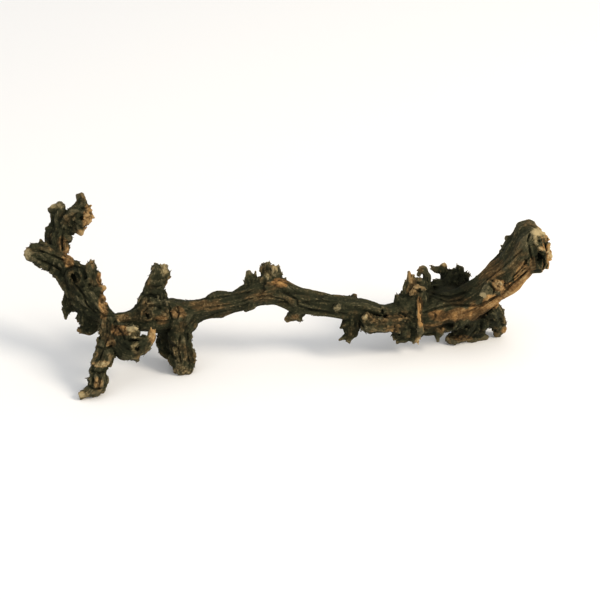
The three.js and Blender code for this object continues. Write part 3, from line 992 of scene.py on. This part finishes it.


# What the skin is like at each point: where it is along and across the grain, how rough, how
# high or low in the relief and how deep in a crease or hollow, both of which the colour follows as
# painted shade, darker in the low and shut-in places, and where cut or torn wood shows.
def blurred(values, reach, times=2):
    """A copy with each cell the mean of its neighbours within reach."""
    for _ in range(times):
        for axis in range(3):
            total = np.cumsum(values, axis=axis, dtype=np.float64)
            ahead = np.roll(total, -reach, axis=axis)
            behind = np.roll(total, reach + 1, axis=axis)
            values = ((ahead - behind) / (2 * reach + 1)).astype(np.float32)
    return values


# How much wood crowds round each cell, near and wider: the painted shade in creases and hollows.
solid = (clay.distance < 0).astype(np.float32)
crowding_for_shade = {reach: blurred(solid, reach) for reach in (2, 7)}
spots = np.empty(len(thinned.vertices) * 3, np.float32)
thinned.vertices.foreach_get("co", spots)
spots = spots.reshape(-1, 3).astype(np.float64) / MM
where = (spots - origin) / CELL
low = np.clip(np.floor(where).astype(int), 0, shape - 2)
part = where - low


def read(values):
    """The values at each point, mixed from the eight cells round it."""
    total = np.zeros(len(spots))
    for i in (0, 1):
        for j in (0, 1):
            for k in (0, 1):
                share = np.abs([1 - i, 1 - j, 1 - k] - part).prod(axis=1)
                total += share * values[low[:, 0] + i, low[:, 1] + j, low[:, 2] + k]
    return total


# The grain is mixed from cell to cell only where they all belong to one limb.
one_limb = read(clay.limb**2) - read(clay.limb) ** 2 < 1e-3
close = np.rint(where).astype(int)
grain = []
for values in (clay.along, clay.side, clay.back):
    nearest = values[close[:, 0], close[:, 1], close[:, 2]]
    grain.append(np.where(one_limb, read(values), nearest))
marks = {
    "rough": read(clay.rough),
    "height": read(clay.height),
    "crease_shade": read(crowding_for_shade[2]),
    "pocket_shade": read(crowding_for_shade[7]),
    "sawn": read(clay.end),
}

# Where the bark has gone and red-brown wood shows, and where the wood is pale: each a place
# [u, v] of the drawing, its half sizes, how bare and how pale.
patches = [
    [391, 70, 8, 19, 0.8, 0.1],
    [377, 103, 14, 7, 0.1, 1.9],
    [370, 90, 5, 12, 0.2, 0.6],
    [378, 76, 6, 6, 0.6, 0.6],
    [350, 40, 10, 20, 0.7, 0.2],
    [225, -24, 24, 12, 0.7, 0.0],
    [255, -22, 22, 12, 1.1, 0.1],
    [282, -19, 20, 13, 1.6, 0.1],
    [308, -4, 20, 13, 1.8, 0.2],
    [334, 12, 18, 14, 1.8, 0.3],
    [352, 34, 14, 18, 1.7, 0.3],
    [366, 54, 6, 12, 0.9, 0.3],
    [315, 22, 12, 10, 1.5, 0.35],
    [291, 7, 5, 5, 0.0, 1.6],
    [196, -8, 5, 14, 1.4, 0.15],
    [197, -30, 6, 16, 1.0, 0.15],
    [193, -60, 6, 9, 0.5, 0.5],
    [193, 18, 11, 4, 0.5, 0.5],
    [181, 34, 6, 12, 0.5, 0.25],
    [236, 53, 9, 4, 0.7, 0.7],
    [133, -33, 30, 13, 0.2, 0.0],
    [114, -25, 6, 6, 0.6, 0.8],
    [163, -40, 26, 14, 0.3, 0.0],
    [72, -11, 6, 5, 0.0, 0.35],
    [-13, 26, 18, 7, 1.2, 0.0],
    [-31, 38, 9, 8, 0.2, 0.8],
    [-22, 47, 5, 6, 0.3, 0.7],
    [10, -26, 10, 6, 0.5, 0.3],
    [-188, 46, 8, 11, 0.2, 1.2],
    [-180, 20, 8, 18, 0.5, 0.0],
    [-213, -24, 16, 16, 0.25, 0.1],
    [-166, -18, 14, 12, 0.8, 0.3],
    [-246, -26, 14, 9, 0.6, 0.4],
    [-190, -30, 14, 10, 0.5, 0.0],
    [-236, -44, 10, 5, 0.4, 1.8],
    [-234, -52, 10, 7, 0.2, 0.4],
    [-232, -70, 8, 8, 0.0, 0.7],
    [-205, -54, 8, 12, 0.9, 0.4],
    [-253, -46, 18, 10, 1.2, 0.05],
    [-268, -62, 10, 10, 0.7, 0.3],
    [-281, -96, 16, 6, 0.8, 0.8],
    [-309, -143, 11, 7, 0.5, 1.0],
    [-287, -124, 9, 12, 0.4, 0.2],
    [-278, -8, 9, 24, 0.8, 0.2],
    [-274, 20, 7, 9, 1.0, 0.5],
    [-283, 32, 7, 14, 0.7, 0.1],
    [-330, 66, 11, 22, 0.9, 0.2],
    [-340, 86, 12, 12, 0.4, 0.0],
    [-300, 122, 12, 24, 0.8, 0.3],
    [-312, 100, 9, 6, 0.9, 0.5],
    [-296, 142, 6, 6, 0.7, 0.4],
    [-392, 69, 6, 9, 0.1, 0.7],
    [-351, 141, 16, 5, 0.3, 1.0],
    [-160, -104, 14, 8, 0.2, 0.3],
    [-172, -70, 10, 20, 0.2, 0.2],
    [325, -46, 8, 9, 0.5, 0.2],
    [258, -57, 22, 6, 0.6, 0.2],
    [90, -42, 9, 12, 0.2, 0.1],
    [222, -40, 32, 13, 0.4, 0.0],
    [300, 48, 34, 30, 0.34, 0.0],
    [342, 80, 18, 24, 0.12, 0.0],
    [250, -2, 40, 12, 0.32, 0.0],
    [186, 24, 14, 24, 0.32, 0.1],
    [160, -28, 40, 14, 0.28, 0.0],
    [-120, -8, 50, 14, 0.3, 0.0],
    [-50, 6, 44, 14, 0.25, 0.0],
    [-300, 60, 20, 30, 0.22, 0.0],
    [-160, -80, 22, 30, 0.15, 0.0],
]

# Places painted darker: mostly painted shade, in the tangle behind the trunk, under the limbs and
# roots and in the butt's hollow, and darker wood round some knots: each [u, v], its half sizes and
# how dark.
shaded_and_dark_spots = [
    [240, 24, 36, 32, 0.9],
    [272, -50, 34, 14, 0.8],
    [300, -32, 26, 18, 0.8],
    [374, 58, 10, 20, 0.9],
    [240, -37, 13, 9, 0.8],
    [-213, -24, 8, 7, 0.35],
    [90, -46, 20, 20, 0.5],
    [172, -50, 26, 12, 0.6],
    [206, 36, 12, 16, 0.5],
    [-318, 32, 24, 26, 0.6],
    [-330, -16, 22, 22, 0.5],
    [-182, -62, 20, 24, 0.7],
    [-236, -66, 24, 18, 0.5],
    [-204, 12, 18, 12, 0.6],
    [-352, 96, 16, 22, 0.3],
    [-300, -30, 16, 24, 0.4],
    [60, -4, 60, 20, 0.2],
]


flat_spots = unleant(spots)
seen_u, seen_v = as_seen(flat_spots).T


def patch_shares(u, v, half_u, half_v):
    """How far each point is from a place seen from the front, 0 at its middle and 1 at its edge."""
    looked_at = ((0, 0), (-0.5, 0), (0.5, 0), (0, -0.5), (0, 0.5))
    found = [front(u + du * half_u, v + dv * half_v) for du, dv in looked_at]
    found = [away for away in found if away is not None]
    gap = ((seen_u - u) / half_u) ** 2 + ((seen_v - v) / half_v) ** 2
    if found:
        deep = 0.9 * max(half_u, half_v) + 5
        gap = gap + (np.maximum(flat_spots[:, 1] - np.median(found) - 4, 0) / deep) ** 2
    return gap


bare, pale = np.zeros(len(spots)), np.zeros(len(spots))
blotch = 0.5 + 0.5 * noise(spots[:, 0] / 9, spots[:, 1] / 9, spots[:, 2] / 9)
for u, v, half_u, half_v, how_bare, how_pale in patches:
    near = np.clip(1.45 - patch_shares(u, v, half_u, half_v) - 0.9 * blotch, 0, 1)
    bare = np.maximum(bare, how_bare * near)
    pale = np.maximum(pale, how_pale * near)
# Painted shade, and some darker wood round knots, from those places.
shade_and_dark_wood = np.zeros(len(spots))
for u, v, half_u, half_v, how_dark in shaded_and_dark_spots:
    near = np.clip(1.5 - patch_shares(u, v, half_u, half_v) - 0.5 * blotch, 0, 1)
    shade_and_dark_wood = np.maximum(shade_and_dark_wood, how_dark * near)

# The trunk and the butt, right of u 200 and above the roots, are made lighter. The torn end is
# bare and pale in strands.
trunk_lift = np.clip((seen_u - 200) / 60, 0, 1) * np.clip((seen_v + 42) / 16, 0, 1)
shade_and_dark_wood = shade_and_dark_wood - 0.3 * trunk_lift * np.clip(1 - 3 * shade_and_dark_wood, 0, 1)
facing = np.empty(len(spots) * 3, np.float32)
thinned.vertices.foreach_get("normal", facing)
torn_end = np.clip((spots[:, 0] - 366) / 14, 0, 1) * np.clip((facing[::3] - 0.3) / 0.35, 0, 1)
frayed = 0.5 + 0.5 * noise(spots[:, 0] / 12, spots[:, 1] / 4, spots[:, 2] / 4)
other = 0.5 + 0.5 * noise(spots[:, 0] / 9, spots[:, 1] / 7 + 20, spots[:, 2] / 7)
bare = np.maximum(bare, torn_end * (0.1 + 0.9 * frayed))
pale = np.maximum(pale, torn_end * np.clip(1.9 * other - 0.75, 0, 1))
for name, values in {**marks, "bare": bare, "pale": pale, "shade_and_dark_wood": shade_and_dark_wood}.items():
    mark = thinned.attributes.new(name, "FLOAT", "POINT")
    mark.data.foreach_set("value", values.astype(np.float32))
mark = thinned.attributes.new("grain", "FLOAT_VECTOR", "POINT")
mark.data.foreach_set("vector", np.stack(grain, 1).astype(np.float32).ravel())

# Old bark and grey-brown wood, red-brown where it is bare, cream where it is cut, with painted
# shade that darkens every crease, hollow and shaded place and leaves the ridges lighter. All of it
# is dry and dull.
wood_look = bpy.data.materials.new("weathered wood")
wood_look.use_nodes = True
look = wood_look.node_tree
shader = look.nodes["Principled BSDF"]


def node(tree, kind, *links, **values):
    """A node with its values set and its inputs linked: each link is (input, output)."""
    new = tree.nodes.new(kind)
    for key, value in values.items():
        setattr(new, key, value)
    for socket, source in links:
        if hasattr(source, "is_output"):
            tree.links.new(source, new.inputs[socket])
        else:
            new.inputs[socket].default_value = source
    return new


def mark_of(name):
    """What the skin is like, as the material reads it."""
    return node(look, "ShaderNodeAttribute", attribute_name=name).outputs


def sum_of(*terms):
    """Adds up terms of (value, times, plus), each value * times + plus."""
    total = 0.0
    for value, times, plus in terms:
        product = ((0, value), (1, times), (2, total))
        total = node(look, "ShaderNodeMath", *product, operation="MULTIPLY_ADD").outputs[0]
        if plus:
            total = node(look, "ShaderNodeMath", (0, total), (1, plus), operation="ADD").outputs[0]
    return total


def stepped(value, low, high, least=0.0, most=1.0):
    """A value that goes from least to most while the given one goes from low to high."""
    ends = ((1, low), (2, high), (3, least), (4, most))
    return node(look, "ShaderNodeMapRange", (0, value), *ends).outputs[0]


def blend(share, under, over):
    """One colour laid over another."""
    mixer = node(look, "ShaderNodeMix", data_type="RGBA")
    for socket, source in ((0, share), (6, under), (7, over)):
        if hasattr(source, "is_output"):
            look.links.new(source, mixer.inputs[socket])
        else:
            mixer.inputs[socket].default_value = source
    return mixer.outputs[2]


grain_at = mark_of("grain")["Vector"]
place_at = node(look, "ShaderNodeTexCoord").outputs["Object"]


def speckled(where, scale):
    """Noise with three finer ones on it."""
    kind = (("Scale", scale), ("Detail", 3.0), ("Roughness", 0.6))
    return node(look, "ShaderNodeTexNoise", ("Vector", where), *kind).outputs[0]


def streaks(along, across):
    """Noise stretched along the grain, with its sizes in millimetres."""
    shares = (1 / along, 1 / across, 1 / across)
    scaled = node(look, "ShaderNodeVectorMath", (0, grain_at), (1, shares), operation="MULTIPLY")
    return speckled(scaled.outputs[0], 1.0)


def mottle(size):
    """Noise in every direction, its size in millimetres."""
    return speckled(place_at, 1 / (size * MM))


fine, wide, blotches, specks = streaks(30, 1.6), streaks(70, 6), mottle(22), mottle(3.2)
height, crease_shade, pocket_shade = (mark_of(name)["Fac"] for name in ("height", "crease_shade", "pocket_shade"))
tone = sum_of(
    # the relief's height, with the knots' year rings: painted shade, darker low down and lighter high
    # up, and the rings' own tone
    (height, 0.045, 0.5),
    # painted shade: darker where the skin lies in a crease or a hollow
    (crease_shade, -1.05, 0.525),
    (pocket_shade, -0.7, 0.35),
    (fine, 0.54, -0.27),
    (wide, 0.3, -0.15),
    (specks, 0.62, -0.31),
    # painted shade from the shaded places, and darker wood round some knots
    (mark_of("shade_and_dark_wood")["Fac"], -0.4, 0),
    (mark_of("bare")["Fac"], 0.05, 0),
    (mark_of("pale")["Fac"], 0.15, 0),
)


def scale_of_colours(value, first, *rest):
    """A ramp of colours, each (place, red, green, blue)."""
    ramp = node(look, "ShaderNodeValToRGB", (0, value))
    stops = ramp.color_ramp.elements
    stops[0].position, stops[0].color = first[0], (*first[1:], 1)
    stops[1].position, stops[1].color = rest[-1][0], (*rest[-1][1:], 1)
    for place, *colour in rest[:-1]:
        stops.new(place).color = (*colour, 1)
    return ramp.outputs[0]


bark = scale_of_colours(
    tone,
    (0.1, 0.0095, 0.0103, 0.0047),
    (0.35, 0.0138, 0.0149, 0.0069),
    (0.52, 0.0205, 0.0215, 0.0102),
    (0.72, 0.0345, 0.0335, 0.0165),
    (0.98, 0.076, 0.0655, 0.0355),
)
bare_wood = scale_of_colours(
    tone,
    (0.12, 0.011, 0.0075, 0.003),
    (0.45, 0.045, 0.027, 0.0105),
    (0.7, 0.125, 0.066, 0.0245),
    (0.98, 0.32, 0.175, 0.06),
)
pale_wood = scale_of_colours(
    tone,
    (0.12, 0.012, 0.0105, 0.004),
    (0.45, 0.085, 0.066, 0.029),
    (0.72, 0.215, 0.166, 0.08),
    (0.98, 0.36, 0.285, 0.15),
)

grown = blend(stepped(blotches, 0.52, 0.68), bark, bare_wood)
grown = blend(0.35, bark, grown)
bare_mark = sum_of((mark_of("bare")["Fac"], 1.5, 0), (wide, 0.6, -0.45), (fine, 0.5, -0.25))
shown = blend(stepped(bare_mark, 0.05, 0.6), grown, bare_wood)
cut_mark = sum_of(
    (mark_of("pale")["Fac"], 1.05, 0),
    (mark_of("sawn")["Fac"], 0.35, 0),
    (fine, 1.1, -0.55),
    (specks, 1.3, -0.7),
)
shown = blend(stepped(cut_mark, 0.05, 0.85), shown, pale_wood)
look.links.new(shown, shader.inputs["Base Color"])
look.links.new(stepped(tone, 0.0, 1.0, 0.75, 0.95), shader.inputs["Roughness"])
shader.inputs["Specular IOR Level"].default_value = 0.08
relief = sum_of((fine, 1.0, 0), (specks, 0.6, 0), (wide, 0.8, 0))
bump = node(look, "ShaderNodeBump", ("Height", relief), ("Strength", 0.7), ("Distance", 0.0012))
look.links.new(bump.outputs[0], shader.inputs["Normal"])
thinned.materials.clear()
thinned.materials.append(wood_look)

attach(wood, "root")
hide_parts("driftwood")

# Loose bark. Old vine sheds its bark in thin curled flakes that lie along the grain, and most
# of them hang on where the wood is rough. They are strewn over the wood by that rule.

# Which way the grain runs at each point, found from how it climbs along the edges of the mesh.
edges = np.empty(len(thinned.edges) * 2, np.int64)
thinned.edges.foreach_get("vertices", edges)
edges = edges.reshape(-1, 2)
between = spots[edges[:, 1]] - spots[edges[:, 0]]
climb = grain[0][edges[:, 1]] - grain[0][edges[:, 0]]
gap = (between**2).sum(axis=1) + 1e-6
pull = between * (np.where(climb**2 < 4 * gap, climb, 0) / gap)[:, None]
flow = np.zeros_like(spots)
for side in (0, 1):
    for axis in range(3):
        flow[:, axis] += np.bincount(edges[:, side], pull[:, axis], len(spots))
mark = thinned.attributes.new("flow", "FLOAT_VECTOR", "POINT")
mark.data.foreach_set("vector", flow.astype(np.float32).ravel())

flakes_tree = bpy.data.node_groups.new("bark flakes", "GeometryNodeTree")
flakes_tree.interface.new_socket("Wood", in_out="INPUT", socket_type="NodeSocketGeometry")
for name, kind in {
    "Flakes a square metre": "NodeSocketFloat",
    "Size": "NodeSocketVector",
    "Curl": "NodeSocketFloat",
    "Seed": "NodeSocketInt",
    "Finish": "NodeSocketMaterial",
}.items():
    flakes_tree.interface.new_socket(name, in_out="INPUT", socket_type=kind)
flakes_tree.interface.new_socket("Flakes", in_out="OUTPUT", socket_type="NodeSocketGeometry")


def step(kind, *links, **values):
    return node(flakes_tree, kind, *links, **values)


def by(first, second, how="MULTIPLY"):
    return step("ShaderNodeMath", (0, first), (1, second), operation=how).outputs[0]


def here(name, kind="FLOAT"):
    """What the wood's skin is like where a flake may hang."""
    return step("GeometryNodeInputNamedAttribute", ("Name", name), data_type=kind).outputs["Attribute"]


def going(value, low, high, least, most):
    """A value that goes from least to most while the given one goes from low to high."""
    ends = ((1, low), (2, high), (3, least), (4, most))
    return step("ShaderNodeMapRange", (0, value), *ends).outputs[0]


def parts_of_place():
    return step("ShaderNodeSeparateXYZ", (0, step("GeometryNodeInputPosition").outputs[0])).outputs


# Where they hang: most on rough bark, few on bare wood, and none close to the floor.
given = step("NodeGroupInput").outputs
off_floor = going(parts_of_place()[2], 0.005, 0.01, 0.0, 1.0)
how_many = by(going(here("rough"), 0.35, 1.0, 0.03, 1.0), off_floor)
how_many = by(how_many, going(here("bare"), 0.1, 0.6, 1.0, 0.15))
strewn = step(
    "GeometryNodeDistributePointsOnFaces",
    ("Mesh", given["Wood"]),
    ("Density", by(how_many, given["Flakes a square metre"])),
    ("Seed", given["Seed"]),
)

# How they lie: flat on the skin and along the grain, give or take a little.
align = "FunctionNodeAlignRotationToVector"
facing_out = step(align, ("Vector", strewn.outputs["Normal"]), axis="Z").outputs[0]
along_grain = step(
    align,
    ("Rotation", facing_out),
    ("Vector", here("flow", "FLOAT_VECTOR")),
    axis="X",
    pivot_axis="Z",
).outputs[0]
chance_turn = step(
    "FunctionNodeRandomValue",
    (0, (0.0, -0.28, -0.5)),
    (1, (0.0, 0.28, 0.5)),
    ("Seed", given["Seed"]),
    data_type="FLOAT_VECTOR",
).outputs[0]
laid = step(
    "FunctionNodeRotateRotation",
    ("Rotation", along_grain),
    ("Rotate By", step("FunctionNodeEulerToRotation", (0, chance_turn)).outputs[0]),
    rotation_space="LOCAL",
).outputs[0]

# One flake: a thin slip, narrower and lifted at its two ends, and no two of one size.
cuts = (("Vertices X", 4), ("Vertices Y", 2), ("Vertices Z", 2))
slip = step("GeometryNodeMeshCube", ("Size", (1, 1, 1)), *cuts).outputs["Mesh"]
x, y, z = list(parts_of_place())[:3]
end_share = by(by(x, x), 4.0)
narrow = by(1.0, by(end_share, 0.5), "SUBTRACT")
lift = by(end_share, given["Curl"])
narrowed = step("ShaderNodeCombineXYZ", (0, x), (1, by(y, narrow)), (2, by(z, narrow))).outputs[0]
shaped = step("ShaderNodeVectorMath", (0, narrowed), (1, given["Size"]), operation="MULTIPLY").outputs[0]
flake = step(
    "GeometryNodeSetPosition",
    ("Geometry", slip),
    ("Position", shaped),
    ("Offset", step("ShaderNodeCombineXYZ", (2, lift)).outputs[0]),
).outputs[0]
sizes = step(
    "FunctionNodeRandomValue",
    (0, (0.5, 0.6, 0.8)),
    (1, (1.5, 1.3, 1.2)),
    ("Seed", 5),
    data_type="FLOAT_VECTOR",
).outputs[0]
hung = step(
    "GeometryNodeInstanceOnPoints",
    ("Points", strewn.outputs["Points"]),
    ("Instance", flake),
    ("Rotation", laid),
    ("Scale", sizes),
).outputs[0]
real = step("GeometryNodeRealizeInstances", ("Geometry", hung)).outputs[0]
finished = step("GeometryNodeSetMaterial", ("Geometry", real), ("Material", given["Finish"])).outputs[0]
step("NodeGroupOutput", ("Flakes", finished))

flakes = bpy.data.objects.new("bark_flakes", thinned.copy())
bpy.context.scene.collection.objects.link(flakes)
strew = flakes.modifiers.new("strew", "NODES")
strew.node_group = flakes_tree
wanted = {
    "Flakes a square metre": 9500.0,
    "Size": (0.0065, 0.0026, 0.0007),
    "Curl": 0.0011,
    "Seed": 4,
    "Finish": wood_look,
}
for socket in flakes_tree.interface.items_tree:
    if socket.name in wanted:
        strew[socket.identifier] = wanted[socket.name]
bpy.context.view_layer.update()
seen = flakes.evaluated_get(bpy.context.evaluated_depsgraph_get())
strewn_mesh = bpy.data.meshes.new_from_object(seen)
flakes.modifiers.clear()
flakes.data = strewn_mesh

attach(flakes, "root")

# The floor, the light and the camera. The piece lies on a plain pale floor in a bright white
# room, with a soft warm light from the right, seen from a little above as in the photo.
floor_mesh = bpy.data.meshes.new("floor")
floor_mesh.from_pydata([(-6, -6, 0), (6, -6, 0), (6, 6, 0), (-6, 6, 0)], [], [(0, 1, 2, 3)])
floor = bpy.data.objects.new("floor", floor_mesh)
bpy.context.scene.collection.objects.link(floor)
floor_look = bpy.data.materials.new("floor")
floor_look.use_nodes = True
floor_paint = floor_look.node_tree.nodes["Principled BSDF"].inputs
floor_paint["Base Color"].default_value = (0.88, 0.88, 0.88, 1)
floor_paint["Roughness"].default_value = 0.9
floor_mesh.materials.append(floor_look)


def soft_light(name, place, size, power, colour):
    """A round lamp that size across, turned to the piece."""
    light = bpy.data.lights.new(name, "AREA")
    light.shape = "DISK"
    light.size = size
    light.energy = power
    light.color = colour
    thing = bpy.data.objects.new(name, light)
    bpy.context.scene.collection.objects.link(thing)
    thing.location = place
    way = Vector((0, 0, 0.1)) - Vector(place)
    thing.rotation_euler = way.to_track_quat("-Z", "Y").to_euler()


soft_light("window", (3.9, -1.7, 3.1), 2.2, 240, (1.0, 0.9, 0.76))
soft_light("fill", (-2.2, -1.6, 1.4), 2.0, 6, (0.88, 0.97, 1.0))
world = bpy.data.worlds.new("room")
bpy.context.scene.world = world
world.use_nodes = True
room_light = world.node_tree.nodes["Background"].inputs
room_light["Color"].default_value = (1, 1, 1, 1)
room_light["Strength"].default_value = 0.8
bpy.context.scene.view_settings.view_transform = "Standard"

camera = bpy.data.cameras.new("camera")
camera.lens = 100
camera.sensor_width = 36
camera.shift_x = 11 / 600  # the piece sits 11 of the photo's 600 pixels left of its middle
seat = bpy.data.objects.new("camera", camera)
bpy.context.scene.collection.objects.link(seat)
seat.location = leant(np.array([[0.0, -VIEW, 0.0]]))[0] * MM
seat.rotation_euler = (math.pi / 2 - LEAN, 0, 0)
bpy.context.scene.camera = seat
